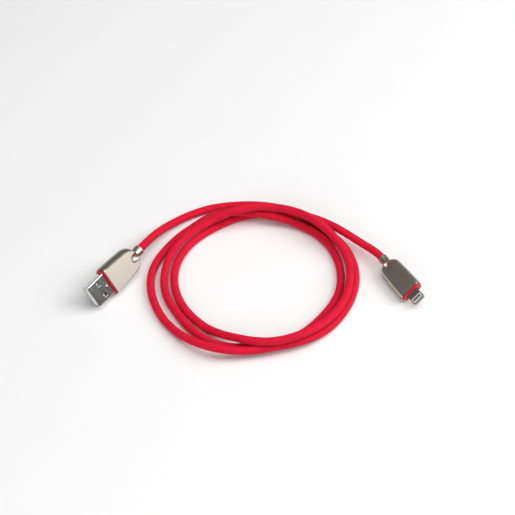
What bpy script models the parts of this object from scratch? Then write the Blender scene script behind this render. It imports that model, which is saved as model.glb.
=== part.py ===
"""A charging cable: one metre of braided cord, lying in three loose turns, with a charger plug on its
left end and a phone plug on its right end. Metres, +Z up, standing on Z = 0, with the origin midway
between the two plugs. Run with: blender --background --python part.py

Each plug is built in its own frame and parented to an empty: +X towards the plug's tip from the
housing's front face, Y across its width and Z through its thickness, the contacts' open side up."""

import math

import bmesh
import bpy
import numpy as np
from mathutils import Matrix, Vector

MM = 0.001

# ---------------------------------------------------------------- driving dimensions
SEAT_GAP = 0.3 * MM  # between a piece and the larger one it sits in
FINE_GAP = 0.15 * MM  # the same, between the small pieces of a connector

CORD_DIAMETER = 4.0 * MM
CORD_STEPS = 79  # straight steps that the cord's tube is cut into

WIRE_DIAMETER = 1.0 * MM
WIRE_RING = 0.95 * MM  # the four wires' distance from the cord's axis
CRIMP_WALL = 0.3 * MM
CRIMP_LENGTH = 1.8 * MM
CRIMP_SETBACK = 0.6 * MM  # from the cord's cut end to the crimp's edge

HOUSING_WALL = 0.7 * MM
CORE_LENGTH = 3.6 * MM
CORE_SIDE_GAP = 2.0 * MM  # between the core's edges and the housing's wall
CORE_FACE_GAP = 0.7 * MM  # the same above and below the core
WIRE_FAN = 2.5 * MM  # from the core's front to the terminals, where the wires spread
COLLAR_PROUD = 0.65 * MM  # thickness of the collar's flange, in front of the housing
COLLAR_STEP = 0.25 * MM  # how far the flange stays inside the housing's outline
COLLAR_DEPTH = 3.0 * MM  # how far a collar reaches into its housing
COLLAR_LIP = 0.2 * MM  # rounding of the flange's front edge
SCOOP_RADIUS = 2.4 * MM
SCOOP_SETOFF = 1.6 * MM  # from the neck's root to the scoop's centre

CHARGER_WIDTH = 15.8 * MM
CHARGER_THICKNESS = 8.0 * MM
CHARGER_FLAT = 11.2 * MM  # width of each flat face
CHARGER_LENGTH = 25.9 * MM  # housing with its neck
CHARGER_NECK_WALL = 0.4 * MM
CHARGER_NECK_LENGTH = 4.5 * MM
CHARGER_SHOULDER = 6.6 * MM  # length of the round-over from the sides to the neck

SHELL_WIDTH = 12.0 * MM
SHELL_HEIGHT = 4.5 * MM
SHELL_LENGTH = 18.75 * MM
SHELL_EXPOSED = 12.0 * MM
SHELL_WALL = 0.3 * MM
SHELL_CORNER = 0.6 * MM
WINDOW_SIDE = 2.3 * MM
WINDOW_OFFSET = 3.1 * MM  # from the shell's middle line to each window's centre
WINDOW_SETBACK = 6.2 * MM  # from the shell's mouth to the windows' centres

TONGUE_THICKNESS = 2.1 * MM
TONGUE_SETBACK = 0.3 * MM  # from the shell's mouth
CONTACT_WIDTH = 1.0 * MM
CONTACT_THICKNESS = 0.25 * MM
CONTACT_SETBACK = 1.2 * MM  # from the tongue's tip
CONTACT_OFFSETS = (-3.5 * MM, -1.0 * MM, 1.0 * MM, 3.5 * MM)
CONTACT_TAIL = 1.6 * MM  # past the shell's rear edge

PHONE_WIDTH = 12.2 * MM
PHONE_THICKNESS = 6.6 * MM
PHONE_FLAT = 8.6 * MM
PHONE_LENGTH = 25.6 * MM
PHONE_NECK_WALL = 0.2 * MM
PHONE_NECK_LENGTH = 4.9 * MM
PHONE_SHOULDER = 3.9 * MM

TAB_WIDTH = 6.7 * MM
TAB_THICKNESS = 1.5 * MM
TAB_EXPOSED = 6.65 * MM
TAB_LENGTH = 11.0 * MM
TAB_TIP_RADIUS = 1.1 * MM
TAB_NOTCH_RADIUS = 0.55 * MM
TAB_NOTCH_SETBACK = 3.9 * MM  # from the tip
TAB_RAIL = 0.4 * MM  # metal left on each side of the pads' window
PAD_WINDOW_LENGTH = 2.9 * MM
PAD_WINDOW_SETBACK = 0.65 * MM  # from the tip
PAD_COUNT = 8
PAD_PITCH = 0.6 * MM
PAD_WIDTH = 0.4 * MM
PAD_LENGTH = 1.5 * MM
PAD_THICKNESS = 0.15 * MM

BOARD_WIDTH = 8.2 * MM
BOARD_LENGTH = 4.0 * MM
BOARD_THICKNESS = 0.8 * MM
CHIP_SIDE = 2.6 * MM
CHIP_HEIGHT = 0.8 * MM

WIRE_ORDER = (3, 0, 1, 2)  # which terminal each wire goes to, so that no two cross

# Where each housing's front face is, as X and Y, its turn about Z and its roll about its own axis.
CHARGER_AT = (-72.3 * MM, -5.1 * MM)
CHARGER_YAW = math.radians(234.5)
CHARGER_ROLL = math.radians(-51.0)
PHONE_AT = (78.1 * MM, -9.6 * MM)
PHONE_YAW = math.radians(302.0)
PHONE_ROLL = math.radians(35.0)

# The free cord's axis from the charger plug to the phone plug, in millimetres: up and over the top,
# three times round clockwise, then out to the right. Z = 2 is cord lying on the table.
CORD_ROUTE = (
    # first turn
    (-50, 27, 6), (-39, 39, 3), (-24.5, 47.5, 2), (-9, 50.5, 2), (7.5, 50, 2),
    (23, 44.5, 2), (36, 34, 2), (46.5, 21.5, 2), (51, 5.5, 2), (48.5, -10.5, 2), (41, -24.5, 2),
    (29, -36, 3.5), (13.5, -42, 4.5), (-2.5, -45, 4.5), (-18.5, -44.5, 6), (-32.5, -36.5, 3.5),
    (-43.5, -24.5, 2), (-50, -9.5, 2), (-50.5, 6.5, 2), (-43.5, 21.5, 2), (-32.5, 34, 2),
    # second turn
    (-19, 41, 5.5), (-3, 41.5, 6.5), (13, 39.5, 5), (28, 34, 2), (39, 22, 2), (43.5, 6.5, 2),
    (41.5, -9.5, 2), (33, -23.5, 2), (21, -34.5, 2), (5.5, -39, 2), (-11, -41, 2),
    (-25.5, -34.5, 2), (-36.5, -21.5, 2), (-43.5, -7, 2), (-43.5, 8.5, 4), (-36.5, 23, 6), (-24, 34, 7),
    # third turn, over the other two
    (-9, 39, 11), (7, 42, 10.5), (23, 38.5, 10), (35.5, 29, 10), (45.5, 16.5, 6), (48, 0.5, 6),
    (44.5, -15, 6), (35.5, -28.5, 7), (23, -38.5, 9), (7.5, -42.5, 8.5), (-7.5, -39, 6.5),
    (-21.5, -30.5, 2.5), (-33, -18.5, 2), (-39, -3.5, 2), (-38, 12.5, 2), (-30, 26.5, 2),
    (-18, 36.5, 2), (-3, 43.5, 2),
    # out to the phone plug
    (13, 44, 3.5), (27.5, 39, 6.5), (42.5, 31, 6.5), (55, 21.5, 5.5),
)  # fmt: skip

# ---------------------------------------------------------------- scene and materials
for old in list(bpy.data.objects):
    bpy.data.objects.remove(old)

cable = bpy.data.collections.new("charging_cable")
cutters = bpy.data.collections.new("cutters")
for group in (cable, cutters):
    bpy.context.scene.collection.children.link(group)
cutters.hide_render = True


def material(name, colour, roughness, metallic=0.0):
    made = bpy.data.materials.new(name)
    made.use_nodes = True
    shader = made.node_tree.nodes["Principled BSDF"]
    shader.inputs["Base Color"].default_value = (*colour, 1)
    shader.inputs["Roughness"].default_value = roughness
    shader.inputs["Metallic"].default_value = metallic
    return made


def add(name, mesh, parent, finish=None):
    """The mesh as a piece of the cable, or as a cutter where it has no finish."""
    obj = bpy.data.objects.new(name, mesh)
    obj.parent = parent
    (cable if finish else cutters).objects.link(obj)
    if finish:
        obj.data.materials.append(material(name, *finish))
    else:
        obj.hide_render = True
        obj.display_type = "WIRE"
    return obj


CHAMPAGNE = ((0.62, 0.56, 0.49), 0.32, 1.0)
NICKEL = ((0.72, 0.71, 0.70), 0.15, 1.0)
DARK_STEEL = ((0.30, 0.29, 0.28), 0.30, 1.0)
TIN_PLATE = ((0.75, 0.74, 0.72), 0.25, 1.0)
GREY_PLATE = ((0.45, 0.44, 0.43), 0.3, 1.0)
BRASS = ((0.75, 0.58, 0.30), 0.35, 1.0)
RED_RUBBER = ((0.75, 0.02, 0.06), 0.55)
RED_BRAID = ((0.78, 0.01, 0.05), 0.75)
WHITE_PLASTIC = ((0.85, 0.85, 0.84), 0.45)
GREY_PLASTIC = ((0.35, 0.35, 0.36), 0.5)
BLACK_PLASTIC = ((0.03, 0.03, 0.03), 0.5)
BOARD_GREEN = ((0.03, 0.22, 0.09), 0.45)
WIRE_COLOURS = (
    ((0.70, 0.02, 0.02), 0.5),
    ((0.80, 0.80, 0.78), 0.5),
    ((0.03, 0.35, 0.08), 0.5),
    ((0.02, 0.02, 0.02), 0.5),
)


# ---------------------------------------------------------------- shapes
def block(name, low, high, parent, finish=None, corner=0.0, segments=3, edges=None):
    """A box between two corners. The edges along the axis named by edges are rounded by corner."""
    low, high = Vector(low), Vector(high)
    bm = bmesh.new()
    bmesh.ops.create_cube(bm, size=1)
    bmesh.ops.scale(bm, vec=high - low, verts=bm.verts)
    bmesh.ops.translate(bm, vec=(low + high) / 2, verts=bm.verts)
    if corner:
        along = "XYZ".index(edges)
        chosen = [e for e in bm.edges if abs((e.verts[0].co - e.verts[1].co)[along]) > corner]
        bmesh.ops.bevel(bm, geom=chosen, offset=corner, segments=segments, profile=0.5, affect="EDGES")
    mesh = bpy.data.meshes.new(name)
    bm.to_mesh(mesh)
    bm.free()
    return add(name, mesh, parent, finish)


def rod(name, radius, start, end, parent, finish=None, sides=24):
    """A cylinder along X, or along Z where start and end share their X."""
    start, end = Vector(start), Vector(end)
    turn = (end - start).to_track_quat("Z", "Y").to_matrix().to_4x4()
    bm = bmesh.new()
    bmesh.ops.create_cone(
        bm, cap_ends=True, segments=sides, radius1=radius, radius2=radius, depth=(end - start).length,
        matrix=Matrix.Translation((start + end) / 2) @ turn,
    )  # fmt: skip
    mesh = bpy.data.meshes.new(name)
    bm.to_mesh(mesh)
    bm.free()
    mesh.shade_smooth()
    mesh.set_sharp_from_angle(angle=math.radians(40))
    return add(name, mesh, parent, finish)


def section(x, half_width, half_height, flat, arc_steps=9):
    """Points round a section: flat faces above and below, each flat wide, and elliptical sides."""
    points = []
    for side, first in ((1, math.pi / 2), (-1, -math.pi / 2)):
        for step in range(arc_steps + 1):
            turn = first - math.pi * step / arc_steps
            y = side * flat / 2 + (half_width - flat / 2) * math.cos(turn)
            points.append((x, y, half_height * math.sin(turn)))
    return points


def loft(name, sections, parent, finish=None):
    """A closed body through the sections, which have the same number of points."""
    bm = bmesh.new()
    rings = [[bm.verts.new(point) for point in ring] for ring in sections]
    for ring, following in zip(rings, rings[1:]):
        for i in range(len(ring)):
            j = (i + 1) % len(ring)
            bm.faces.new((ring[i], ring[j], following[j], following[i]))
    bm.faces.new(rings[0])
    bm.faces.new(rings[-1])
    bmesh.ops.remove_doubles(bm, verts=bm.verts, dist=1e-7)
    bmesh.ops.recalc_face_normals(bm, faces=bm.faces)
    mesh = bpy.data.meshes.new(name)
    bm.to_mesh(mesh)
    bm.free()
    mesh.shade_smooth()
    mesh.set_sharp_from_angle(angle=math.radians(40))
    return add(name, mesh, parent, finish)


def turned(name, profile, parent, finish):
    """A ring turned about X: a closed profile of (x, radius) points."""
    mesh = bpy.data.meshes.new(name)
    count = len(profile)
    mesh.from_pydata([(x, r, 0) for x, r in profile], [(i, (i + 1) % count) for i in range(count)], [])
    ring = add(name, mesh, parent, finish)
    screw = ring.modifiers.new("turn", "SCREW")
    screw.axis = "X"
    screw.steps = screw.render_steps = 32
    screw.use_merge_vertices = True
    screw.merge_threshold = 0.00001
    screw.use_normal_flip = True
    return ring


def tube(name, points, radius, parent, finish):
    """A round tube through the points, with closed ends."""
    curve = bpy.data.curves.new(name, "CURVE")
    curve.dimensions = "3D"
    curve.bevel_depth = radius
    curve.bevel_resolution = 2
    curve.use_fill_caps = True
    spline = curve.splines.new("POLY")
    spline.points.add(len(points) - 1)
    for knot, point in zip(spline.points, points):
        knot.co = (*point, 1)
    return add(name, curve, parent, finish)


def cut(piece, cutter):
    boolean = piece.modifiers.new(cutter.name, "BOOLEAN")
    boolean.operation = "DIFFERENCE"
    boolean.solver = "EXACT"
    boolean.object = cutter


# ---------------------------------------------------------------- plug housings
def housing_sections(width, thickness, flat, length, neck_diameter, neck_length, shoulder, inset, front):
    """Sections of a housing from its front to its neck's end, moved in by inset for its hollow.

    The sides draw in gently to the shoulder, round over it in a quarter ellipse, and meet the neck in
    a small fillet. The faces keep their thickness up to the shoulder."""
    neck = neck_diameter / 2
    shoulder_end = -length + neck_length
    straight = -shoulder_end - shoulder
    draw_in = 0.045 * width
    rings = []
    for share in (0.0, 0.25, 0.5, 0.75, 1.0):
        half = width / 2 - draw_in * share**2
        rings.append((-straight * share, half, thickness / 2, flat * (1 - 0.1 * share)))
    half_at_shoulder = rings[-1][1]
    for degrees in (20, 35, 50, 62, 72, 80):
        turn = math.radians(degrees)
        across = neck + (half_at_shoulder - neck) * math.cos(turn)
        high = neck + (thickness / 2 - neck) * math.cos(turn) ** 0.7
        rings.append((-straight - shoulder * math.sin(turn), across, high, 0.9 * flat * math.cos(turn)))
    rings.append((shoulder_end, neck, neck, 0.0))
    if inset:
        rings = [r for r in rings if r[0] > shoulder_end + 0.4 * shoulder]
        rings[0] = (front, *rings[0][1:])
    else:
        rings.append((-length, neck, neck, 0.0))
    return [section(x, half - inset, high - inset, across) for x, half, high, across in rings]


def housing(name, width, thickness, flat, length, neck_wall, neck_length, shoulder, parent):
    """A die-cast housing: open in front for the collar, bored through its neck for the cord."""
    bore_radius = CORD_DIAMETER / 2 + SEAT_GAP
    neck = bore_radius + neck_wall
    sizes = (width, thickness, flat, length, 2 * neck, neck_length, shoulder)
    body = loft(name, housing_sections(*sizes, inset=0.0, front=0.0), parent, CHAMPAGNE)
    hollow = loft(
        name + "_hollow", housing_sections(*sizes, inset=HOUSING_WALL, front=1 * MM), parent
    )
    bore = rod(name + "_bore", bore_radius, (-length - 1 * MM, 0, 0), (-length / 2, 0, 0), parent)
    cut(body, hollow)
    cut(body, bore)
    # A round thumb scoop runs out of the neck into each flat face, as deep as the neck's own surface.
    lift = neck + SCOOP_RADIUS
    for side in (1, -1):
        bm = bmesh.new()
        place = Matrix.Translation((-length + neck_length + SCOOP_SETOFF, 0, side * lift))
        bmesh.ops.create_uvsphere(bm, u_segments=20, v_segments=12, radius=SCOOP_RADIUS, matrix=place)
        mesh = bpy.data.meshes.new(f"{name}_scoop")
        bm.to_mesh(mesh)
        bm.free()
        cut(body, add(f"{name}_scoop_{'top' if side > 0 else 'bottom'}", mesh, parent))
    return body


def collar(name, width, thickness, flat, hole_width, hole_height, hole_corner, parent):
    """The rubber collar that closes a housing's front, round the connector."""
    spigot = HOUSING_WALL + FINE_GAP
    outline = (
        (-COLLAR_DEPTH, spigot),
        (FINE_GAP, spigot),
        (FINE_GAP, COLLAR_STEP),
        (COLLAR_PROUD - COLLAR_LIP, COLLAR_STEP),
        (COLLAR_PROUD - 0.3 * COLLAR_LIP, COLLAR_STEP + 0.3 * COLLAR_LIP),
        (COLLAR_PROUD, COLLAR_STEP + COLLAR_LIP),
    )
    rings = [section(x, width / 2 - inset, thickness / 2 - inset, flat) for x, inset in outline]
    body = loft(name, rings, parent, RED_RUBBER)
    half_width, half_height = hole_width / 2 + FINE_GAP, hole_height / 2 + FINE_GAP
    hole = block(
        name + "_hole", (-2 * COLLAR_DEPTH, -half_width, -half_height),
        (2 * COLLAR_DEPTH, half_width, half_height), parent, corner=hole_corner, edges="X",
    )  # fmt: skip
    cut(body, hole)
    return body


def cord_end(plug, parent, body, width, thickness, wire_targets):
    """The crimp, the wires and the core that hold a cord in its housing. Returns the cord's end, as X."""
    core_front = wire_targets[0][0] - WIRE_FAN
    core_rear = core_front - CORE_LENGTH
    core_width = width - 2 * (HOUSING_WALL + CORE_SIDE_GAP)
    core_height = thickness - 2 * (HOUSING_WALL + CORE_FACE_GAP)
    cord_end_x = core_rear - 2 * FINE_GAP
    inner = CORD_DIAMETER / 2 + FINE_GAP
    outer = inner + CRIMP_WALL
    crimp_front = cord_end_x - CRIMP_SETBACK
    crimp_rear = crimp_front - CRIMP_LENGTH
    profile = [(crimp_rear, outer), (crimp_front, outer), (crimp_front, inner), (crimp_rear, inner)]
    turned(plug + "_crimp", profile, parent, BRASS)
    seat = rod(
        plug + "_crimp_seat", outer + FINE_GAP, (crimp_rear - SEAT_GAP, 0, 0), (core_front, 0, 0), parent
    )
    cut(body, seat)

    core = block(
        plug + "_core", (core_rear, -core_width / 2, -core_height / 2),
        (core_front, core_width / 2, core_height / 2), parent, GREY_PLASTIC,
        corner=0.8 * MM, edges="X",
    )  # fmt: skip
    radius = WIRE_DIAMETER / 2
    for number, (place, colour) in enumerate(zip(WIRE_ORDER, WIRE_COLOURS), start=1):
        target = wire_targets[place]
        turn = math.radians(45 + 90 * (number - 1))
        y, z = WIRE_RING * math.cos(turn), WIRE_RING * math.sin(turn)
        bore = rod(
            f"{plug}_wire_bore_{number}", radius + FINE_GAP, (core_rear - 1 * MM, y, z),
            (core_front + 1 * MM, y, z), parent, sides=12,
        )  # fmt: skip
        cut(core, bore)
        lead_in = (target[0] - WIRE_DIAMETER / 2, *target[1:])
        path = [(cord_end_x + FINE_GAP, y, z), (core_front + FINE_GAP, y, z), lead_in, target]
        tube(f"{plug}_wire_{number}", path, radius, parent, colour)
    return cord_end_x


# ---------------------------------------------------------------- charger plug
def charger_plug(parent):
    body = housing(
        "charger_housing", CHARGER_WIDTH, CHARGER_THICKNESS, CHARGER_FLAT, CHARGER_LENGTH,
        CHARGER_NECK_WALL, CHARGER_NECK_LENGTH, CHARGER_SHOULDER, parent,
    )  # fmt: skip
    collar(
        "charger_collar", CHARGER_WIDTH, CHARGER_THICKNESS, CHARGER_FLAT, SHELL_WIDTH, SHELL_HEIGHT,
        SHELL_CORNER, parent,
    )  # fmt: skip

    mouth = SHELL_EXPOSED
    rear = mouth - SHELL_LENGTH
    half_width, half_height = SHELL_WIDTH / 2, SHELL_HEIGHT / 2
    shell = block(
        "charger_shell", (rear, -half_width, -half_height), (mouth, half_width, half_height), parent,
        NICKEL, corner=SHELL_CORNER, edges="X",
    )  # fmt: skip
    wall = SHELL_WALL
    hollow = block(
        "charger_shell_hollow", (rear - 1 * MM, -half_width + wall, -half_height + wall),
        (mouth + 1 * MM, half_width - wall, half_height - wall), parent,
        corner=SHELL_CORNER - wall, edges="X",
    )  # fmt: skip
    cut(shell, hollow)
    window_x = mouth - WINDOW_SETBACK
    half = WINDOW_SIDE / 2
    for side, name in ((1, "left"), (-1, "right")):
        y = side * WINDOW_OFFSET
        window = block(
            f"charger_shell_window_{name}", (window_x - half, y - half, -SHELL_HEIGHT),
            (window_x + half, y + half, SHELL_HEIGHT), parent,
        )  # fmt: skip
        cut(shell, window)

    # The tongue lies along the shell's lower wall, with the contacts on it facing the open space.
    tongue_side = half_width - wall - FINE_GAP
    tongue_low = -half_height + wall + FINE_GAP
    tongue_high = tongue_low + TONGUE_THICKNESS
    tongue_tip = mouth - TONGUE_SETBACK
    block(
        "charger_tongue", (rear + FINE_GAP, -tongue_side, tongue_low),
        (tongue_tip, tongue_side, tongue_high), parent, WHITE_PLASTIC, corner=0.25 * MM, edges="X",
    )  # fmt: skip
    contact_low = tongue_high + FINE_GAP
    contact_high = contact_low + CONTACT_THICKNESS
    contact_rear = rear - CONTACT_TAIL
    targets = []
    for number, y in enumerate(CONTACT_OFFSETS, start=1):
        block(
            f"charger_contact_{number}", (contact_rear, y - CONTACT_WIDTH / 2, contact_low),
            (tongue_tip - CONTACT_SETBACK, y + CONTACT_WIDTH / 2, contact_high), parent, TIN_PLATE,
        )  # fmt: skip
        targets.append((contact_rear - FINE_GAP, y, contact_low))
    return cord_end("charger", parent, body, CHARGER_WIDTH, CHARGER_THICKNESS, targets)


# ---------------------------------------------------------------- phone plug
def phone_plug(parent):
    body = housing(
        "phone_housing", PHONE_WIDTH, PHONE_THICKNESS, PHONE_FLAT, PHONE_LENGTH,
        PHONE_NECK_WALL, PHONE_NECK_LENGTH, PHONE_SHOULDER, parent,
    )  # fmt: skip
    collar(
        "phone_collar", PHONE_WIDTH, PHONE_THICKNESS, PHONE_FLAT, TAB_WIDTH, TAB_THICKNESS, 0.0, parent
    )

    tip = TAB_EXPOSED
    rear = tip - TAB_LENGTH
    half_width, half_height = TAB_WIDTH / 2, TAB_THICKNESS / 2
    tab = block("phone_tab", (rear, -half_width, -half_height), (tip, half_width, half_height), parent, DARK_STEEL)
    bevel = tab.modifiers.new("tip", "BEVEL")
    bevel.width = TAB_TIP_RADIUS
    bevel.segments = 5
    bevel.limit_method = "VGROUP"
    tip_corners = tab.vertex_groups.new(name="tip")
    tip_corners.add([v.index for v in tab.data.vertices if v.co.x > 0], 1.0, "REPLACE")
    bevel.vertex_group = "tip"
    bevel.affect = "EDGES"
    window_front = tip - PAD_WINDOW_SETBACK
    window_rear = window_front - PAD_WINDOW_LENGTH
    half_window = half_width - TAB_RAIL
    window = block(
        "phone_tab_window", (window_rear, -half_window, -TAB_THICKNESS),
        (window_front, half_window, TAB_THICKNESS), parent, corner=0.5 * MM, edges="Z",
    )  # fmt: skip
    cut(tab, window)
    notch_x = tip - TAB_NOTCH_SETBACK
    for side, name in ((1, "left"), (-1, "right")):
        y = side * (half_width + 0.25 * TAB_NOTCH_RADIUS)
        notch = rod(
            f"phone_tab_notch_{name}", TAB_NOTCH_RADIUS, (notch_x, y, -TAB_THICKNESS),
            (notch_x, y, TAB_THICKNESS), parent, sides=16,
        )  # fmt: skip
        cut(tab, notch)

    pad_high = half_height
    pad_low = pad_high - PAD_THICKNESS
    insert_half = pad_low - FINE_GAP
    block(
        "phone_insulator", (window_rear + FINE_GAP, -half_window + FINE_GAP, -insert_half),
        (window_front - FINE_GAP, half_window - FINE_GAP, insert_half), parent, WHITE_PLASTIC,
        corner=0.4 * MM, edges="Z",
    )  # fmt: skip
    pad_x = (window_front + window_rear) / 2
    for face, side in (("top", 1), ("bottom", -1)):
        for number in range(PAD_COUNT):
            y = (number - (PAD_COUNT - 1) / 2) * PAD_PITCH
            low, high = sorted((side * pad_low, side * pad_high))
            block(
                f"phone_pad_{face}_{number + 1}", (pad_x - PAD_LENGTH / 2, y - PAD_WIDTH / 2, low),
                (pad_x + PAD_LENGTH / 2, y + PAD_WIDTH / 2, high), parent, GREY_PLATE,
            )  # fmt: skip

    board_front = rear - SEAT_GAP
    board_rear = board_front - BOARD_LENGTH
    block(
        "phone_board", (board_rear, -BOARD_WIDTH / 2, -BOARD_THICKNESS / 2),
        (board_front, BOARD_WIDTH / 2, BOARD_THICKNESS / 2), parent, BOARD_GREEN,
    )  # fmt: skip
    chip_x = (board_front + board_rear) / 2 + 0.4 * MM
    chip_low = BOARD_THICKNESS / 2 + FINE_GAP
    block(
        "phone_chip", (chip_x - CHIP_SIDE / 2, -CHIP_SIDE / 2, chip_low),
        (chip_x + CHIP_SIDE / 2, CHIP_SIDE / 2, chip_low + CHIP_HEIGHT), parent, BLACK_PLASTIC,
    )  # fmt: skip
    spacing = BOARD_WIDTH / 5
    targets = [(board_rear - FINE_GAP, (i - 1.5) * spacing, 0.0) for i in range(4)]
    return cord_end("phone", parent, body, PHONE_WIDTH, PHONE_THICKNESS, targets)


# ---------------------------------------------------------------- layout on the table
def resting_height(width, thickness, flat, roll):
    """The axis's height when a housing with this section, rolled this far, rests on the table."""
    side = width / 2 - flat / 2
    round_part = math.hypot(side * math.sin(roll), thickness / 2 * math.cos(roll))
    return flat / 2 * abs(math.sin(roll)) + round_part


def stand(name, at, yaw, roll, height):
    """An empty at a housing's front face, which carries its plug."""
    empty = bpy.data.objects.new(name, None)
    empty.location = (*at, height)
    empty.rotation_euler = (roll, 0, yaw)
    cable.objects.link(empty)
    return empty


def neck_line(at, yaw, height, cord_end_x, length):
    """The cord's cut end and the middle of the neck's mouth, and the direction out of the neck."""
    front = np.array((*at, height))
    outwards = -np.array((math.cos(yaw), math.sin(yaw), 0.0))
    return front - outwards * cord_end_x, front + outwards * length, outwards


def smooth_curve(knots, start_direction, end_direction, steps):
    """A cubic spline through the knots that leaves and arrives in these directions, in equal steps."""
    knots = np.array(knots)
    spans = np.linalg.norm(np.diff(knots, axis=0), axis=1)
    count = len(knots)
    weights = np.zeros((count, count))
    wanted = np.zeros((count, 3))
    weights[0, 0] = weights[-1, -1] = 1.0
    wanted[0], wanted[-1] = start_direction, end_direction
    for i in range(1, count - 1):
        before, after = spans[i - 1], spans[i]
        weights[i, i - 1 : i + 2] = after, 2 * (before + after), before
        wanted[i] = 3 * (
            after * (knots[i] - knots[i - 1]) / before + before * (knots[i + 1] - knots[i]) / after
        )
    slopes = np.linalg.solve(weights, wanted)
    fine = []
    for i in range(count - 1):
        for t in np.linspace(0, 1, 40, endpoint=False):
            fine.append(
                (2 * t**3 - 3 * t**2 + 1) * knots[i]
                + (t**3 - 2 * t**2 + t) * spans[i] * slopes[i]
                + (3 * t**2 - 2 * t**3) * knots[i + 1]
                + (t**3 - t**2) * spans[i] * slopes[i + 1]
            )
    fine = np.array(fine + [knots[-1]])
    travelled = np.concatenate([[0], np.cumsum(np.linalg.norm(np.diff(fine, axis=0), axis=1))])
    stations = np.linspace(0, travelled[-1], steps + 1)
    return np.stack([np.interp(stations, travelled, fine[:, axis]) for axis in range(3)], axis=1)


charger_height = resting_height(CHARGER_WIDTH, CHARGER_THICKNESS, CHARGER_FLAT, CHARGER_ROLL)
phone_height = resting_height(PHONE_WIDTH, PHONE_THICKNESS, PHONE_FLAT, PHONE_ROLL)
charger_end_x = charger_plug(stand("charger_plug", CHARGER_AT, CHARGER_YAW, CHARGER_ROLL, charger_height))
phone_end_x = phone_plug(stand("phone_plug", PHONE_AT, PHONE_YAW, PHONE_ROLL, phone_height))

first_end, first_mouth, first_out = neck_line(
    CHARGER_AT, CHARGER_YAW, charger_height, charger_end_x, CHARGER_LENGTH
)
last_end, last_mouth, last_out = neck_line(PHONE_AT, PHONE_YAW, phone_height, phone_end_x, PHONE_LENGTH)
route = [first_mouth, *(np.array(point) * MM for point in CORD_ROUTE), last_mouth]
free = smooth_curve(route, first_out, -last_out, CORD_STEPS - 2)
free[:, 2] = np.maximum(free[:, 2], CORD_DIAMETER / 2)  # the cord lies on the table
tube("charging_cord", [first_end, *free, last_end], CORD_DIAMETER / 2, None, RED_BRAID)
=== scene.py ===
"""The looks of a red braided charging cable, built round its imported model.

The cable lies in three loose turns between a charger plug on the left and a phone plug on the right.
Metres, +Z up, the table at Z = 0. Each plug is modelled in its own frame, with +X towards its tip from
the front of its housing, Y across its width and Z through its thickness, and is then set in its place.
"""

import math

import bmesh
import bpy
import numpy as np
from mathutils import Matrix, Vector


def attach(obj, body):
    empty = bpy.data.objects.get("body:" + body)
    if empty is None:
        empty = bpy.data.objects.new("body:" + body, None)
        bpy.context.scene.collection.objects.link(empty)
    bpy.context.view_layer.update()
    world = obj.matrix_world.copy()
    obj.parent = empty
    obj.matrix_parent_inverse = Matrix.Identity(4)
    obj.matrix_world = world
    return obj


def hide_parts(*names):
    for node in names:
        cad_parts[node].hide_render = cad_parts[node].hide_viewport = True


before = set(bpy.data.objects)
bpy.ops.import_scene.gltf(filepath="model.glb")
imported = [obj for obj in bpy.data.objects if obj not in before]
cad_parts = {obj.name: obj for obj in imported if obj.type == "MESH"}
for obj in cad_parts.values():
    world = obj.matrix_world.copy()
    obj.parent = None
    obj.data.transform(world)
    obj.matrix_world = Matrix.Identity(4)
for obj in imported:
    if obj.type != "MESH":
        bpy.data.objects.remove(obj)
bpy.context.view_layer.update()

MM = 0.001

# ---------------------------------------------------------------- sizes
NEAR = 0.002 * MM  # points this close count as being at the same place

CORD_RADIUS = 2.0 * MM
CORD_SIDES = 24
CORD_SPACING = 0.27 * MM
BRAID_STRANDS = 8
BRAID_RELIEF = 0.05 * MM
THREADS_PER_STRAND = 3

WALL = 0.5 * MM
FRONT_LIP = 0.35 * MM
COLLAR_INSET = 0.45 * MM
SHELL_REACH = 12.0 * MM
SHELL_HALF_WIDTH = 6.0 * MM
SHELL_HALF_HEIGHT = 2.25 * MM
TAB_REACH = 6.65 * MM
TAB_HALF_WIDTH = 3.35 * MM
TAB_HALF_HEIGHT = 0.75 * MM

CHARGER = {
    "name": "charger", "width": 15.8 * MM, "thickness": 8.0 * MM, "side_arc": 3.3 * MM, "crown": 0.45 * MM,
    "length": 25.9 * MM, "neck_radius": 2.7 * MM, "neck_length": 4.5 * MM, "shoulder": 6.6 * MM,
    "scoop_setoff": 2.4 * MM, "scoop_width": 5.0 * MM,
    "cord_end": -14.75 * MM,
    "at": (-72.3 * MM, -5.1 * MM, 7.4394 * MM), "yaw": math.radians(234.5), "roll": math.radians(-51.0),
}
PHONE = {
    "name": "phone", "width": 12.2 * MM, "thickness": 6.6 * MM, "side_arc": 2.6 * MM, "crown": 0.4 * MM,
    "length": 25.6 * MM, "neck_radius": 2.5 * MM, "neck_length": 4.9 * MM, "shoulder": 3.9 * MM,
    "scoop_setoff": 1.9 * MM, "scoop_width": 4.2 * MM,
    "cord_end": -15.05 * MM,
    "at": (78.1 * MM, -9.6 * MM, 5.39 * MM), "yaw": math.radians(302.0), "roll": math.radians(35.0),
}

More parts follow.
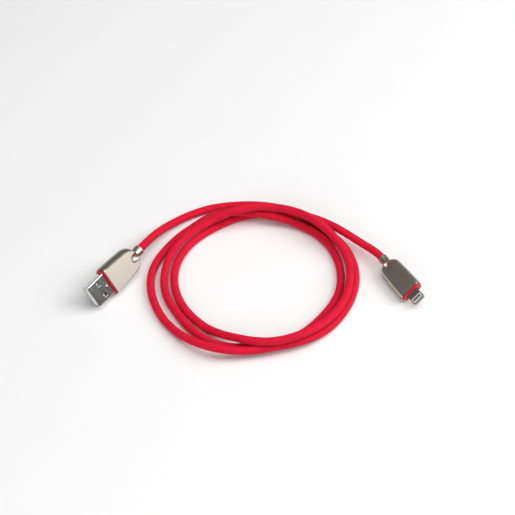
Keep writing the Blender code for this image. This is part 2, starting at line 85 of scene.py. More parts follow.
# The free cord's axis in millimetres, from the charger plug's neck to the phone plug's.
CORD_ROUTE = (
    # first turn
    (-50, 27, 6), (-39, 39, 3), (-24.5, 47.5, 2), (-9, 50.5, 2), (7.5, 50, 2),
    (23, 44.5, 2), (36, 34, 2), (46.5, 21.5, 2), (51, 5.5, 2), (48.5, -10.5, 2), (41, -24.5, 2),
    (29, -36, 3.5), (13.5, -42, 4.5), (-2.5, -45, 4.5), (-18.5, -44.5, 6), (-32.5, -36.5, 3.5),
    (-43.5, -24.5, 2), (-50, -9.5, 2), (-50.5, 6.5, 2), (-43.5, 21.5, 2), (-32.5, 34, 2),
    # second turn
    (-19, 41, 5.5), (-3, 41.5, 6.5), (13, 39.5, 5), (28, 34, 2), (39, 22, 2), (43.5, 6.5, 2),
    (41.5, -9.5, 2), (33, -23.5, 2), (21, -34.5, 2), (5.5, -39, 2), (-11, -41, 2),
    (-25.5, -34.5, 2), (-36.5, -21.5, 2), (-43.5, -7, 2), (-43.5, 8.5, 4), (-36.5, 23, 6), (-24, 34, 7),
    # third turn, over the other two
    (-9, 39, 11), (7, 42, 10.5), (23, 38.5, 10), (35.5, 29, 10), (45.5, 16.5, 6), (48, 0.5, 6),
    (44.5, -15, 6), (35.5, -28.5, 7), (23, -38.5, 9), (7.5, -42.5, 8.5), (-7.5, -39, 6.5),
    (-21.5, -30.5, 2.5), (-33, -18.5, 2), (-39, -3.5, 2), (-38, 12.5, 2), (-30, 26.5, 2),
    (-18, 36.5, 2), (-3, 43.5, 2),
    # out to the phone plug
    (13, 44, 3.5), (27.5, 39, 6.5), (42.5, 31, 6.5), (55, 21.5, 5.5),
)

# ---------------------------------------------------------------- camera
LOOK_AT = Vector((0.002, 0.017, 0.0))
CAMERA_ELEVATION = math.radians(50.0)
CAMERA_DISTANCE = 0.8
back = Vector((0.0, -math.cos(CAMERA_ELEVATION), math.sin(CAMERA_ELEVATION)))
camera_data = bpy.data.cameras.new("camera")
camera_data.lens = 110.52
camera_data.sensor_width = 36.0
camera = bpy.data.objects.new("camera", camera_data)
camera.location = LOOK_AT + back * CAMERA_DISTANCE
camera.rotation_euler = back.to_track_quat("Z", "Y").to_euler()
bpy.context.scene.collection.objects.link(camera)
bpy.context.scene.camera = camera


# ---------------------------------------------------------------- materials
GRAIN_LOW, GRAIN_HIGH = 0.3, 0.7  # the noise values between which the grain's spread runs


def new_material(name, base, roughness, metallic=0.0, **shader_values):
    made = bpy.data.materials.new(name)
    made.use_nodes = True
    shader = made.node_tree.nodes["Principled BSDF"]
    shader.inputs["Base Color"].default_value = (*base, 1)
    shader.inputs["Roughness"].default_value = roughness
    shader.inputs["Metallic"].default_value = metallic
    for socket, value in shader_values.items():
        shader.inputs[socket.replace("_", " ")].default_value = value
    return made, made.node_tree, shader


def link(tree, source, output, target, socket):
    tree.links.new(source.outputs[output], target.inputs[socket])


def surface_grain(tree, shader, scale, bump, distance, roughness_range, tint, place):
    """Fine grain on Object coordinates: bump, and a spread of roughness and of colour."""
    nodes = tree.nodes
    where = nodes.new("ShaderNodeTexCoord")
    mapping = nodes.new("ShaderNodeMapping")
    mapping.vector_type = "TEXTURE"
    if place:
        mapping.inputs["Location"].default_value = place["at"]
        mapping.inputs["Rotation"].default_value = (place["roll"], 0, place["yaw"])
    noise = nodes.new("ShaderNodeTexNoise")
    noise.inputs["Scale"].default_value = scale
    noise.inputs["Detail"].default_value = 4
    noise.inputs["Roughness"].default_value = 0.6
    link(tree, where, "Object", mapping, "Vector")
    link(tree, mapping, "Vector", noise, "Vector")
    bumps = nodes.new("ShaderNodeBump")
    bumps.inputs["Strength"].default_value = bump
    bumps.inputs["Distance"].default_value = distance
    link(tree, noise, "Fac", bumps, "Height")
    link(tree, bumps, "Normal", shader, "Normal")
    spread = nodes.new("ShaderNodeMapRange")
    spread.inputs["From Min"].default_value = GRAIN_LOW
    spread.inputs["From Max"].default_value = GRAIN_HIGH
    spread.inputs["To Min"].default_value, spread.inputs["To Max"].default_value = roughness_range
    link(tree, noise, "Fac", spread, "Value")
    link(tree, spread, "Result", shader, "Roughness")
    ramp = nodes.new("ShaderNodeValToRGB")
    ramp.color_ramp.elements[0].position = GRAIN_LOW
    ramp.color_ramp.elements[1].position = GRAIN_HIGH
    for element, colour in zip(ramp.color_ramp.elements, tint):
        element.color = (*colour, 1)
    link(tree, noise, "Fac", ramp, "Fac")
    link(tree, ramp, "Color", shader, "Base Color")


def finish_material(name, base, roughness, metallic=0.0, scale=2000, bump=0.15, distance=0.00005,
                    spread=0.05, darker=0.9, place=None):
    """A material whose grain varies its roughness and its colour a little."""
    made, tree, shader = new_material(name, base, roughness, metallic)
    low = tuple(channel * darker for channel in base)
    smoothest = 0.02
    surface_grain(
        tree, shader, scale, bump, distance,
        (max(roughness - spread, smoothest), roughness + spread), (low, base), place,
    )
    return made


def braid_material():
    """Red textile braid on the cord's own UV map: U once round the cord, V along it in metres."""
    made, tree, shader = new_material(
        "red_braid", (0.70, 0.003, 0.03), 0.7, 0.0, Sheen_Weight=0.08, Sheen_Roughness=0.5,
        Specular_IOR_Level=0.2,
    )
    shader.inputs["Sheen Tint"].default_value = (1.0, 0.35, 0.45, 1)
    nodes = tree.nodes
    uv = nodes.new("ShaderNodeUVMap")
    uv.uv_map = "cord"
    split = nodes.new("ShaderNodeSeparateXYZ")
    link(tree, uv, "UV", split, "Vector")

    def maths(operation, first, second=None):
        node = nodes.new("ShaderNodeMath")
        node.operation = operation
        for index, value in enumerate((first, second)):
            if value is None:
                continue
            if isinstance(value, (int, float)):
                node.inputs[index].default_value = value
            else:
                tree.links.new(value, node.inputs[index])
        return node.outputs[0]

    # Threads run both ways round at 45 degrees. Each strand is several threads side by side.
    around = maths("MULTIPLY", split.outputs["X"], BRAID_STRANDS)
    along = maths("MULTIPLY", split.outputs["Y"], BRAID_STRANDS / (2 * math.pi * CORD_RADIUS))
    right = maths("ADD", around, along)
    left = maths("SUBTRACT", around, along)
    threads_right = maths("SINE", maths("MULTIPLY", right, 2 * math.pi * THREADS_PER_STRAND))
    threads_left = maths("SINE", maths("MULTIPLY", left, 2 * math.pi * THREADS_PER_STRAND))
    over = maths(
        "MULTIPLY", maths("SINE", maths("MULTIPLY", right, 2 * math.pi)),
        maths("SINE", maths("MULTIPLY", left, 2 * math.pi)),
    )
    chosen = maths("GREATER_THAN", over, 0.0)
    mix = nodes.new("ShaderNodeMix")
    mix.data_type = "FLOAT"
    tree.links.new(chosen, mix.inputs[0])
    tree.links.new(threads_right, mix.inputs[2])
    tree.links.new(threads_left, mix.inputs[3])
    threads = mix.outputs[0]
    bumps = nodes.new("ShaderNodeBump")
    bumps.inputs["Strength"].default_value = 0.5
    bumps.inputs["Distance"].default_value = 0.00008
    tree.links.new(threads, bumps.inputs["Height"])
    link(tree, bumps, "Normal", shader, "Normal")

    where = nodes.new("ShaderNodeTexCoord")
    noise = nodes.new("ShaderNodeTexNoise")
    noise.inputs["Scale"].default_value = 260
    noise.inputs["Detail"].default_value = 3
    link(tree, where, "Object", noise, "Vector")
    # The colour is darker in the grooves between the threads, which is painted shade, and it also varies at
    # random with the noise.
    shade = maths("ADD", maths("MULTIPLY", threads, 0.22), maths("MULTIPLY", noise.outputs["Fac"], 0.6))
    ramp = nodes.new("ShaderNodeValToRGB")
    ramp.color_ramp.elements[0].position = 0.05
    ramp.color_ramp.elements[0].color = (0.56, 0.002, 0.020, 1)
    ramp.color_ramp.elements[1].position = 0.5
    ramp.color_ramp.elements[1].color = (0.80, 0.003, 0.040, 1)
    tree.links.new(shade, ramp.inputs["Fac"])
    link(tree, ramp, "Color", shader, "Base Color")
    return made


champagne = {
    plug["name"]: finish_material(
        f"champagne_metal_{plug['name']}", (0.55, 0.495, 0.44), 0.33, 1.0, scale=5000, bump=0.02,
        distance=0.00001, spread=0.02, darker=0.97, place=plug,
    )
    for plug in (CHARGER, PHONE)
}
polished_champagne = finish_material(
    "polished_champagne", (0.80, 0.74, 0.67), 0.12, 1.0, scale=800, bump=0.03, distance=0.00002,
    spread=0.03, darker=0.97,
)
nickel = finish_material(
    "nickel_plate", (0.60, 0.59, 0.59), 0.10, 1.0, scale=300, bump=0.001, distance=0.00001, spread=0.02,
    darker=0.95,
)
dark_steel = finish_material(
    "dark_steel", (0.33, 0.32, 0.31), 0.34, 1.0, scale=3000, bump=0.1, distance=0.00002, spread=0.06,
)
contact_grey = finish_material("contact_grey", (0.60, 0.59, 0.58), 0.3, 1.0, scale=3000, darker=0.85)
tin = finish_material("tin_plate", (0.78, 0.77, 0.75), 0.25, 1.0, scale=3000, bump=0.05, darker=0.9)
brass = finish_material("brass_crimp", (0.75, 0.58, 0.30), 0.35, 1.0, scale=1500, darker=0.8)
rubber = finish_material(
    "red_rubber", (0.66, 0.006, 0.035), 0.38, scale=2500, bump=0.2, distance=0.00003, darker=0.85,
)
white_plastic = finish_material("white_plastic", (0.86, 0.86, 0.85), 0.35, scale=1500, darker=0.95)
grey_plastic = finish_material("grey_plastic", (0.35, 0.35, 0.36), 0.5, scale=1500)
black_plastic = finish_material("black_plastic", (0.03, 0.03, 0.03), 0.45, scale=2500, darker=0.7)
board_green = finish_material("board_green", (0.03, 0.22, 0.09), 0.4, scale=900, darker=0.7)
wire_materials = {
    "1": finish_material("wire_red", (0.70, 0.02, 0.02), 0.45, scale=900),
    "2": finish_material("wire_white", (0.80, 0.80, 0.78), 0.45, scale=900),
    "3": finish_material("wire_green", (0.03, 0.35, 0.08), 0.45, scale=900),
    "4": finish_material("wire_black", (0.02, 0.02, 0.02), 0.45, scale=900, darker=0.6),
}
red_braid = braid_material()


def paint_cad_nodes():
    """Gives each carried-over node its finish."""
    for name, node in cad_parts.items():
        if "_wire_" in name:
            chosen = wire_materials[name[-1]]
        elif "_contact_" in name:
            chosen = tin
        elif "_pad_" in name:
            chosen = contact_grey
        elif name.endswith("_crimp"):
            chosen = brass
        elif name.endswith("_core"):
            chosen = grey_plastic
        elif name == "phone_board":
            chosen = board_green
        elif name == "phone_chip":
            chosen = black_plastic
        elif name in ("phone_insulator", "charger_tongue"):
            chosen = white_plastic
        elif name.endswith("_housing"):
            chosen = champagne[name.split("_")[0]]
        elif name.endswith("_collar"):
            chosen = rubber
        elif name == "charger_shell":
            chosen = nickel
        elif name == "phone_tab":
            chosen = dark_steel
        else:
            chosen = red_braid
        for slot in node.material_slots:
            slot.material = chosen
        if not node.material_slots:
            node.data.materials.append(chosen)


paint_cad_nodes()


# ---------------------------------------------------------------- modelling by hand
def deselect():
    bpy.ops.object.select_all(action="DESELECT")


def named(name):
    piece = bpy.context.object
    piece.name = piece.data.name = name
    return piece


def activate(piece):
    deselect()
    piece.select_set(True)
    bpy.context.view_layer.objects.active = piece


def edit(piece, kind="VERT"):
    activate(piece)
    bpy.ops.object.mode_set(mode="EDIT")
    bpy.ops.mesh.select_mode(type=kind)


def close_edit():
    bpy.ops.object.mode_set(mode="OBJECT")


def pick(kind, test):
    """In edit mode, selects the points, edges or faces for which test(middle, element) is true."""
    bpy.ops.mesh.select_all(action="DESELECT")
    mesh = bmesh.from_edit_mesh(bpy.context.object.data)
    for element in getattr(mesh, kind):
        corners = [element.co] if kind == "verts" else [v.co for v in element.verts]
        middle = sum(corners, Vector()) / len(corners)
        if test(middle, element):
            element.select_set(True)
    mesh.select_flush_mode()
    bmesh.update_edit_mesh(bpy.context.object.data)


def edge_turn(edge):
    """How far an edge's two faces turn from each other, in degrees."""
    if len(edge.link_faces) != 2:
        return 0.0
    return math.degrees(edge.calc_face_angle(0.0))


def apply_modifiers(piece):
    activate(piece)
    for modifier in list(piece.modifiers):
        bpy.ops.object.modifier_apply(modifier=modifier.name)


def carve(piece, cutter):
    """Takes the cutter's shape out of the piece, and removes the cutter."""
    modifier = piece.modifiers.new("carve", "BOOLEAN")
    modifier.operation = "DIFFERENCE"
    modifier.solver = "EXACT"
    modifier.object = cutter
    apply_modifiers(piece)
    bpy.data.objects.remove(cutter)


def round_long_edges(piece, radius, segments, axis=0):
    """Rounds the edges that lie along one axis."""
    edit(piece, "EDGE")

    def lies_along(_, edge):
        line = edge.verts[1].co - edge.verts[0].co
        return abs(line[axis]) > 0.99 * line.length

    pick("edges", lies_along)
    bpy.ops.mesh.bevel(offset=radius, segments=segments, affect="EDGES")
    close_edit()


def set_in_place(piece, plug):
    """Moves a finished piece from its plug's own frame to where the plug lies."""
    placed = (
        Matrix.Translation(plug["at"])
        @ Matrix.Rotation(plug["yaw"], 4, "Z")
        @ Matrix.Rotation(plug["roll"], 4, "X")
    )
    activate(piece)
    bpy.ops.object.transform_apply(location=True, rotation=True, scale=True)
    piece.matrix_world = placed
    bpy.ops.object.transform_apply(location=True, rotation=True, scale=True)


def smooth(piece, degrees):
    activate(piece)
    bpy.ops.object.shade_smooth_by_angle(angle=math.radians(degrees))


def even_shading(piece):
    """Keeps the shading of each large flat face flat right up to its rounded edges."""
    weighted = piece.modifiers.new("even", "WEIGHTED_NORMAL")
    weighted.keep_sharp = True
    apply_modifiers(piece)


def block_piece(name, low, high):
    deselect()
    low, high = Vector(low), Vector(high)
    bpy.ops.mesh.primitive_cube_add(size=1, location=(low + high) / 2, scale=high - low)
    bpy.ops.object.transform_apply(location=True, rotation=True, scale=True)
    return named(name)


def oval_bar(name, rear, front, half_width, half_height, side_arc, points):
    """A bar along X whose section has flat faces above and below and round sides."""
    deselect()
    bpy.ops.mesh.primitive_cylinder_add(
        vertices=points, radius=1, depth=front - rear, location=((front + rear) / 2, 0, 0),
        rotation=(0, math.pi / 2, 0),
    )
    bpy.ops.object.transform_apply(location=True, rotation=True, scale=True)
    piece = named(name)
    # Turned half a step about X, so that no point lies on the middle line.
    piece.rotation_euler = (math.pi / points, 0, 0)
    bpy.ops.object.transform_apply(location=True, rotation=True, scale=True)
    edit(piece)
    for side in (1, -1):
        pick("verts", lambda middle, _: middle.y * side > 0)
        bpy.ops.transform.resize(value=(1, side_arc, half_height), center_override=(0, 0, 0))
        bpy.ops.transform.translate(value=(0, side * (half_width - side_arc), 0))
    close_edit()
    return piece


# ---------------------------------------------------------------- plug housings
def housing_stations(plug):
    """(x, half width, half height, side arc) of the uncut body, from its front to its neck."""
    width, neck = plug["width"], plug["neck_radius"]
    shoulder_end = -plug["length"] + plug["neck_length"]
    shoulder = plug["shoulder"]
    straight = -shoulder_end - shoulder
    draw_in = 0.045 * width
    tall = plug["thickness"] / 2 + plug["crown"]
    stations = []
    for share in (0.12, 0.3, 0.5, 0.7, 0.85, 1.0):
        stations.append((-straight * share, width / 2 - draw_in * share**2, tall, plug["side_arc"]))
    half = stations[-1][1]
    for degrees in range(4, 86, 3):
        turn = math.radians(degrees)
        across = neck + (half - neck) * math.cos(turn)
        high = neck + (tall - neck) * min(1.0, 1.2 * math.cos(turn)) ** 0.8
        arc = across - (half - plug["side_arc"]) * math.cos(turn) ** 1.3
        stations.append((-straight - shoulder * math.sin(turn), across, high, arc))
    # The fillet into the neck.
    fillet = neck + 0.12 * MM
    stations.append((shoulder_end - 0.15 * MM, fillet, fillet, fillet))
    stations.append((shoulder_end - 0.5 * MM, neck, neck, neck))
    return stations


def stretch_end(x, before, after):
    """Scales the newest end section, at x, from one (half width, half height, side arc) to the next."""
    for side in (1, -1):
        pick("verts", lambda middle, _: abs(middle.x - x) < NEAR and middle.y * side > 0)
        bpy.ops.transform.resize(
            value=(1, after[2] / before[2], after[1] / before[1]),
            center_override=(x, side * (before[0] - before[2]), 0),
        )
        shift = (after[0] - after[2]) - (before[0] - before[2])
        bpy.ops.transform.translate(value=(0, side * shift, 0))


def plug_housing(plug):
    width, thickness = plug["width"], plug["thickness"]
    tall = thickness / 2 + plug["crown"]
    neck = plug["neck_radius"]
    body = oval_bar(f"{plug['name']}_body", -FRONT_LIP, 0, width / 2, tall, plug["side_arc"], points=128)
    edit(body, "FACE")
    x, before = -FRONT_LIP, (width / 2, tall, plug["side_arc"])
    end = -plug["length"]
    # A groove runs round the neck, in front of a ring that is a little wider.
    groove, ring = neck - 0.12 * MM, neck + 0.08 * MM
    necks = [
        (end + 1.75 * MM, neck), (end + 1.65 * MM, groove), (end + 1.45 * MM, groove),
        (end + 1.35 * MM, ring), (end + 0.25 * MM, ring), (end, neck - 0.1 * MM),
    ]
    stations = housing_stations(plug) + [(place, r, r, r) for place, r in necks]
    for place, half, high, arc in stations:
        pick("faces", lambda middle, face: abs(middle.x - x) < NEAR and face.normal.x < -0.5)
        bpy.ops.mesh.extrude_region_move(TRANSFORM_OT_translate={"value": (place - x, 0, 0)})
        x = place
        bpy.ops.mesh.select_mode(type="VERT")
        stretch_end(x, before, (half, high, arc))
        bpy.ops.mesh.select_mode(type="FACE")
        before = (half, high, arc)
    # The flat faces are cut across the crown of the body.
    flat = thickness / 2
    for side in (1, -1):
        bpy.ops.mesh.select_all(action="SELECT")
        bpy.ops.mesh.bisect(
            plane_co=(0, 0, side * flat), plane_no=(0, 0, side), use_fill=True, clear_outer=True,
            threshold=NEAR,
        )
    bpy.ops.mesh.select_all(action="SELECT")
    bpy.ops.mesh.remove_doubles(threshold=NEAR)
    bpy.ops.mesh.fill_holes(sides=0)
    bpy.ops.mesh.select_all(action="SELECT")
    bpy.ops.mesh.normals_make_consistent(inside=False)
    # The front lip turns in a little.
    bpy.ops.mesh.select_mode(type="VERT")
    pick("verts", lambda middle, _: abs(middle.x) < NEAR)
    bpy.ops.transform.resize(value=(1, 0.98, 0.98), center_override=(0, 0, 0))
    close_edit()

    # A thumb scoop runs from each flat face down to the neck.
    scoop_x = end + plug["neck_length"] + plug["scoop_setoff"]
    scoop_rise = 2.1 * MM
    scoop_radii = (3.4 * MM, plug["scoop_width"] / 2, 2.25 * MM)
    for side in (1, -1):
        deselect()
        bpy.ops.mesh.primitive_uv_sphere_add(
            segments=48, ring_count=24, radius=1, location=(scoop_x, 0, side * (neck + scoop_rise)),
            scale=scoop_radii,
        )
        carve(body, named("scoop"))

    # Open at the front and at the neck's end, with a wall in between.
    edit(body, "FACE")
    pick("faces", lambda middle, face: abs(face.normal.x) > 0.99
         and min(abs(middle.x), abs(middle.x - end)) < NEAR)
    bpy.ops.mesh.delete(type="FACE")
    # The flat faces meet the round sides in a clear line.
    bpy.ops.mesh.select_mode(type="EDGE")
    pick("edges", lambda middle, edge: abs(middle.z) > flat - 0.01 * MM and edge_turn(edge) > 1)
    bpy.ops.mesh.mark_sharp()
    close_edit()
    body.data.materials.append(champagne[plug["name"]])
    body.data.materials.append(polished_champagne)
    # The many-sided flat faces are split first, so that the wall's inside keeps their notches.
    split = body.modifiers.new("split", "TRIANGULATE")
    split.min_vertices = 5
    wall = body.modifiers.new("wall", "SOLIDIFY")
    wall.thickness = WALL
    wall.offset = -1
    wall.use_even_offset = False
    wall.material_offset_rim = 1
    apply_modifiers(body)
    smooth(body, 35)
    even_shading(body)
    set_in_place(body, plug)
    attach(body, "root")
    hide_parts(f"{plug['name']}_housing")


# ---------------------------------------------------------------- collars
def plug_collar(plug, hole_width, hole_height, hole_corner):
    name = plug["name"]
    half, high = plug["width"] / 2 - COLLAR_INSET, plug["thickness"] / 2 - COLLAR_INSET
    flange_rear, flange_front = 0.1 * MM, 0.45 * MM
    collar = oval_bar(f"{name}_flange", flange_rear, flange_front, half, high, plug["side_arc"], points=64)
    edit(collar, "FACE")
    pick("faces", lambda middle, face: face.normal.x < -0.5)
    bpy.ops.mesh.inset(thickness=0.25 * MM)
    # Its plug reaches back into the housing.
    bpy.ops.mesh.extrude_region_move(TRANSFORM_OT_translate={"value": (-2.8 * MM, 0, 0)})
    bpy.ops.mesh.select_mode(type="EDGE")
    pick("edges", lambda _, edge: edge_turn(edge) > 60
         and min(v.co.x for v in edge.verts) > flange_front - 0.01 * MM)
    bpy.ops.mesh.bevel(offset=0.2 * MM, segments=4, affect="EDGES")
    close_edit()
    gap, reach = 0.05 * MM, 6 * MM
    half_hole, high_hole = hole_width / 2 + gap, hole_height / 2 + gap
    hole = block_piece("hole", (-reach, -half_hole, -high_hole), (reach, half_hole, high_hole))
    if hole_corner:
        round_long_edges(hole, hole_corner, segments=4)
    carve(collar, hole)
    collar.data.materials.append(rubber)
    smooth(collar, 40)
    even_shading(collar)
    set_in_place(collar, plug)
    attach(collar, "root")
    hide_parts(f"{name}_collar")


# ---------------------------------------------------------------- charger connector
def charger_shell():
    rear, wall = -6.75 * MM, 0.3 * MM
    shell = block_piece(
        "charger_tube", (rear, -SHELL_HALF_WIDTH, -SHELL_HALF_HEIGHT),
        (SHELL_REACH, SHELL_HALF_WIDTH, SHELL_HALF_HEIGHT),
    )
    round_long_edges(shell, 0.6 * MM, segments=5)
    edit(shell, "FACE")
    bpy.ops.mesh.select_all(action="SELECT")
    bpy.ops.mesh.bisect(plane_co=(SHELL_REACH - 0.9 * MM, 0, 0), plane_no=(1, 0, 0))
    # The lip is drawn in a little.
    bpy.ops.mesh.select_mode(type="VERT")
    pick("verts", lambda middle, _: middle.x > SHELL_REACH - 0.1 * MM)
    bpy.ops.transform.resize(value=(1, 0.972, 0.93), center_override=(SHELL_REACH, 0, 0))
    bpy.ops.mesh.select_mode(type="FACE")
    pick("faces", lambda _, face: abs(face.normal.x) > 0.9)
    bpy.ops.mesh.delete(type="FACE")
    close_edit()
    sheet = shell.modifiers.new("sheet", "SOLIDIFY")
    sheet.thickness = wall
    sheet.offset = -1
    sheet.use_even_offset = True
    apply_modifiers(shell)
    # Two square latch windows in each broad face.
    window_x, half = SHELL_REACH - 6.2 * MM, 1.15 * MM
    for side in (1, -1):
        low, high = sorted((side * (SHELL_HALF_HEIGHT + 1 * MM), side * (SHELL_HALF_HEIGHT - 0.8 * MM)))
        for across in (3.1 * MM, -3.1 * MM):
            window = block_piece(
                "window", (window_x - half, across - half, low), (window_x + half, across + half, high)
            )
            round_long_edges(window, 0.7 * MM, segments=6, axis=2)
            carve(shell, window)
    # A press mark near the housing, and the seam where the sheet's edges meet underneath.
    deselect()
    bpy.ops.mesh.primitive_uv_sphere_add(
        segments=32, ring_count=16, radius=1.2 * MM,
        location=(SHELL_REACH - 9.6 * MM, 0, SHELL_HALF_HEIGHT + 0.95 * MM),
    )
    carve(shell, named("press_mark"))
    half_seam = 0.04 * MM
    seam = block_piece(
        "seam", (rear - 1 * MM, -half_seam, -SHELL_HALF_HEIGHT - 0.1 * MM),
        (SHELL_REACH + 1 * MM, half_seam, -SHELL_HALF_HEIGHT + 0.12 * MM),
    )
    carve(shell, seam)
    # The windows' rims are rounded over.
    edit(shell, "EDGE")
    pick("edges", lambda middle, edge: edge_turn(edge) > 40
         and abs(middle.z) > SHELL_HALF_HEIGHT - 0.02 * MM and abs(middle.x - window_x) < 1.3 * MM)
    bpy.ops.mesh.bevel(offset=0.2 * MM, segments=4, affect="EDGES")
    close_edit()
    shell.data.materials.append(nickel)
    smooth(shell, 25)
    even_shading(shell)
    set_in_place(shell, CHARGER)
    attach(shell, "root")
    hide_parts("charger_shell")


def charger_tongue():
    rear, low, high = -6.6 * MM, -1.8 * MM, 0.3 * MM
    half_width, setback = 5.5 * MM, 0.3 * MM
    tongue = block_piece(
        "charger_insert", (rear, -half_width, low), (SHELL_REACH - setback, half_width, high)
    )
    edit(tongue, "EDGE")
    pick("edges", lambda middle, _: middle.x > SHELL_REACH - setback - 0.1 * MM)
    bpy.ops.mesh.bevel(offset=0.25 * MM, segments=3, affect="EDGES")
    close_edit()
    # The four shallow channels under the contacts.
    half_channel = 0.65 * MM
    for y in (-3.5 * MM, -1.0 * MM, 1.0 * MM, 3.5 * MM):
        channel = block_piece(
            "channel", (SHELL_REACH - 9.5 * MM, y - half_channel, high - 0.1 * MM),
            (SHELL_REACH - 1.3 * MM, y + half_channel, high + 1 * MM),
        )
        carve(tongue, channel)
    tongue.data.materials.append(white_plastic)
    smooth(tongue, 30)
    set_in_place(tongue, CHARGER)
    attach(tongue, "root")
    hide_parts("charger_tongue")


# ---------------------------------------------------------------- phone connector
def phone_tab():
    rear = -4.35 * MM
    tab = block_piece(
        "phone_blade", (rear, -TAB_HALF_WIDTH, -TAB_HALF_HEIGHT), (TAB_REACH, TAB_HALF_WIDTH, TAB_HALF_HEIGHT)
    )
    # The tip's corners are round.
    edit(tab, "EDGE")
    pick("edges", lambda middle, _: middle.x > TAB_REACH - 0.01 * MM and abs(middle.z) < 0.01 * MM)
    bpy.ops.mesh.bevel(offset=1.1 * MM, segments=8, affect="EDGES")
    close_edit()
    # The round retaining notches in both sides.
    for side in (1, -1):
        deselect()
        bpy.ops.mesh.primitive_cylinder_add(
            vertices=32, radius=0.55 * MM, depth=4 * MM,
            location=(TAB_REACH - 3.9 * MM, side * (TAB_HALF_WIDTH + 0.14 * MM), 0),
        )
        carve(tab, named("notch"))
    half_window = 2.95 * MM
    window = block_piece(
        "window", (TAB_REACH - 3.55 * MM, -half_window, -2 * MM), (TAB_REACH - 0.65 * MM, half_window, 2 * MM)
    )
    round_long_edges(window, 0.5 * MM, segments=5, axis=2)
    carve(tab, window)
    edit(tab, "EDGE")
    pick("edges", lambda middle, edge: edge_turn(edge) > 50
         and abs(middle.z) > TAB_HALF_HEIGHT - 0.01 * MM and middle.x > rear + 0.1 * MM)
    bpy.ops.mesh.bevel(offset=0.1 * MM, segments=3, affect="EDGES")
    close_edit()
    tab.data.materials.append(dark_steel)
    smooth(tab, 30)
    even_shading(tab)
    set_in_place(tab, PHONE)
    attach(tab, "root")
    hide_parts("phone_tab")


# ---------------------------------------------------------------- cord
def plug_axis(plug):
    """The cord's cut end, the middle of the neck's mouth, and the direction out of the neck."""
    front = np.array(plug["at"])
    out = -np.array((math.cos(plug["yaw"]), math.sin(plug["yaw"]), 0.0))
    return front - out * plug["cord_end"], front + out * plug["length"], out


def smooth_curve(knots, start_direction, end_direction, spacing):
    """A cubic spline through the knots that leaves and arrives in these directions, in equal steps."""
    knots = np.array(knots)
    spans = np.linalg.norm(np.diff(knots, axis=0), axis=1)
    count = len(knots)
    weights = np.zeros((count, count))
    wanted = np.zeros((count, 3))
    weights[0, 0] = weights[-1, -1] = 1.0
    wanted[0], wanted[-1] = start_direction, end_direction
    for i in range(1, count - 1):
        before, after = spans[i - 1], spans[i]
        weights[i, i - 1 : i + 2] = after, 2 * (before + after), before
        wanted[i] = 3 * (
            after * (knots[i] - knots[i - 1]) / before + before * (knots[i + 1] - knots[i]) / after
        )
    slopes = np.linalg.solve(weights, wanted)
    fine = []
    for i in range(count - 1):
        for t in np.linspace(0, 1, 80, endpoint=False):
            fine.append(
                (2 * t**3 - 3 * t**2 + 1) * knots[i]
                + (t**3 - 2 * t**2 + t) * spans[i] * slopes[i]
                + (3 * t**2 - 2 * t**3) * knots[i + 1]
                + (t**3 - t**2) * spans[i] * slopes[i + 1]
            )
    return even_steps(np.array(fine + [knots[-1]]), spacing)


def even_steps(line, spacing):
    travelled = np.concatenate([[0], np.cumsum(np.linalg.norm(np.diff(line, axis=0), axis=1))])
    stations = np.linspace(0, travelled[-1], int(travelled[-1] / spacing) + 1)
    return np.stack([np.interp(stations, travelled, line[:, axis]) for axis in range(3)], axis=1)


def cord_line(spacing):
    first_end, first_mouth, first_out = plug_axis(CHARGER)
    last_end, last_mouth, last_out = plug_axis(PHONE)
    route = [first_mouth, *(np.array(point) * MM for point in CORD_ROUTE), last_mouth]
    free = smooth_curve(route, first_out, -last_out, 0.5 * MM)
    free[:, 2] = np.maximum(free[:, 2], CORD_RADIUS + BRAID_RELIEF)
    return even_steps(np.array([first_end, *free, last_end]), spacing), first_mouth


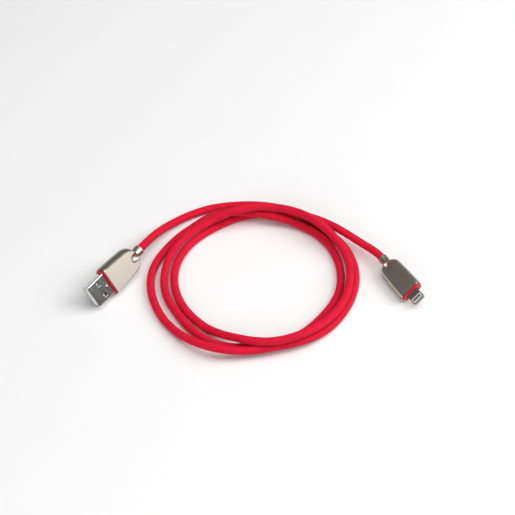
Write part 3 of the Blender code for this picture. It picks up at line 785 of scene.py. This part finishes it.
def braided_cord():
    """A tube along the route, with its strands raised by the way they pass over and under."""
    line, mouth = cord_line(CORD_SPACING)
    tangents = np.gradient(line, axis=0)
    tangents /= np.linalg.norm(tangents, axis=1)[:, None]
    up = np.array((0.0, 0.0, 1.0))
    across = np.cross(up, tangents)
    across /= np.linalg.norm(across, axis=1)[:, None]
    lift = np.cross(tangents, across)
    travelled = np.concatenate([[0], np.cumsum(np.linalg.norm(np.diff(line, axis=0), axis=1))])
    turns = np.arange(CORD_SIDES) / CORD_SIDES
    phase_around = turns[None, :] * BRAID_STRANDS
    phase_along = travelled[:, None] * BRAID_STRANDS / (2 * math.pi * CORD_RADIUS)
    over = np.sin(2 * np.pi * (phase_around + phase_along)) * np.sin(2 * np.pi * (phase_around - phase_along))
    radius = CORD_RADIUS - BRAID_RELIEF + BRAID_RELIEF * 2 * np.abs(over) ** 0.6
    angle = 2 * np.pi * turns[None, :]
    points = (
        line[:, None, :]
        + (radius * np.cos(angle))[..., None] * across[:, None, :]
        + (radius * np.sin(angle))[..., None] * lift[:, None, :]
    )
    rings, sides = points.shape[:2]
    corners = np.arange(rings * sides).reshape(rings, sides)
    following = np.roll(corners, -1, axis=1)
    faces = np.stack([corners[:-1], following[:-1], following[1:], corners[1:]], axis=-1).reshape(-1, 4)
    mesh = bpy.data.meshes.new("braided_cord")
    mesh.from_pydata(points.reshape(-1, 3), [], faces.tolist())
    uv = mesh.uv_layers.new(name="cord")
    around = np.arange(sides) / sides
    u = np.stack([around, around + 1 / sides, around + 1 / sides, around], axis=-1)
    u = np.broadcast_to(u[None], (rings - 1, sides, 4))
    v = np.stack([travelled[:-1], travelled[:-1], travelled[1:], travelled[1:]], axis=-1)
    v = np.broadcast_to(v[:, None, :], (rings - 1, sides, 4))
    uv.data.foreach_set("uv", np.stack([u, v], axis=-1).astype(np.float32).ravel())
    cord = bpy.data.objects.new("braided_cord", mesh)
    bpy.context.scene.collection.objects.link(cord)
    edit(cord)
    bpy.ops.mesh.select_all(action="SELECT")
    bpy.ops.mesh.select_non_manifold(extend=False)
    bpy.ops.mesh.edge_face_add()
    bpy.ops.mesh.select_all(action="SELECT")
    bpy.ops.mesh.normals_make_consistent(inside=False)
    close_edit()
    cord.data.materials.append(red_braid)
    activate(cord)
    bpy.ops.object.shade_smooth()
    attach(cord, "root")
    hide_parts("charging_cord")


braided_cord()
plug_housing(CHARGER)
plug_housing(PHONE)
plug_collar(CHARGER, 2 * SHELL_HALF_WIDTH, 2 * SHELL_HALF_HEIGHT, 0.6 * MM)
plug_collar(PHONE, 2 * TAB_HALF_WIDTH, 2 * TAB_HALF_HEIGHT, 0.0)
charger_shell()
charger_tongue()
phone_tab()

# ---------------------------------------------------------------- floor and light
deselect()
bpy.ops.mesh.primitive_plane_add(size=6.0, location=(0, 0, 0))
floor = named("floor")
floor.data.materials.append(finish_material(
    "pale_floor", (0.86, 0.86, 0.86), 0.6, scale=40, bump=0.02, spread=0.03, darker=0.995,
))


def softbox(name, location, size, power, target=(0, 0, 0)):
    data = bpy.data.lights.new(name, "AREA")
    data.shape = "RECTANGLE"
    data.size, data.size_y = size
    data.energy = power
    light = bpy.data.objects.new(name, data)
    light.location = location
    light.rotation_euler = (Vector(location) - Vector(target)).to_track_quat("Z", "Y").to_euler()
    bpy.context.scene.collection.objects.link(light)
    return light


softbox("right_key", (1.0, 0.1, 0.85), (0.9, 0.9), 13.5)
softbox("overhead_fill", (0.1, -0.05, 1.2), (0.9, 0.9), 7.5)
softbox("front_left_fill", (-0.45, -0.85, 0.5), (0.6, 0.6), 3.5)

world = bpy.data.worlds.new("studio")
world.use_nodes = True
world.node_tree.nodes["Background"].inputs["Color"].default_value = (1, 1, 1, 1)
world.node_tree.nodes["Background"].inputs["Strength"].default_value = 0.15
bpy.context.scene.world = world
bpy.context.scene.view_settings.view_transform = "Standard"
